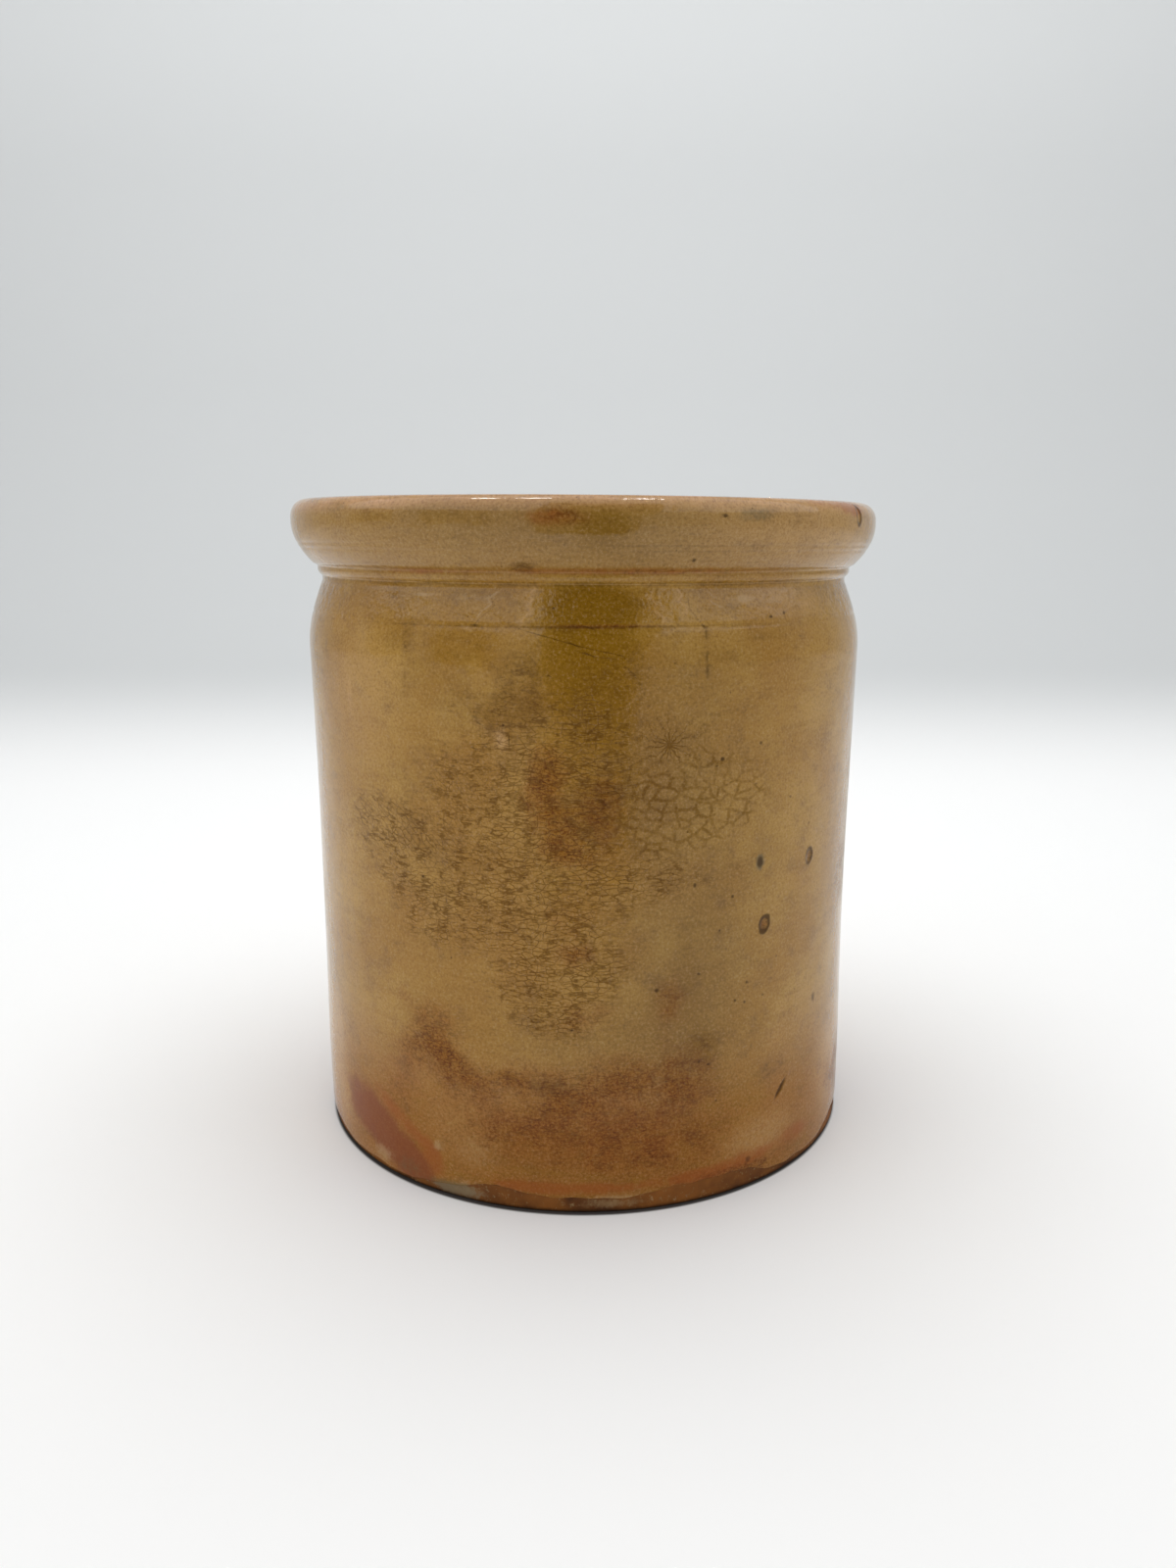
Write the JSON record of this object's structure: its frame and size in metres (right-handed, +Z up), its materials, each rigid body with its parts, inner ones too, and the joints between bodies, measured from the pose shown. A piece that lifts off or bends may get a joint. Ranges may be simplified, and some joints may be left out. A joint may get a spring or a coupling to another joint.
{
  "type": "confit pot",
  "caption": "Straight-sided glazed earthenware storage jar with a rolled collar over a drawn-in neck, open at the top and flat underneath.",
  "frame": {"origin": "middle of the flat base, on the surface that the pot stands on", "axes": "+Z up along the jar's axis, -Y towards the side that the picture shows, +X to that view's right"},
  "size_m": [0.1572, 0.156, 0.1703],
  "materials": {
    "red_clay": "matte",
    "cream_slip": "matte",
    "honey_glaze": "gloss",
    "lining_glaze": "gloss"
  },
  "bodies": {
    "root": {"clay_body": "red_clay", "slip_coat": "cream_slip", "outer_glaze": "honey_glaze", "inner_glaze": "lining_glaze"}
  },
  "joints": []
}
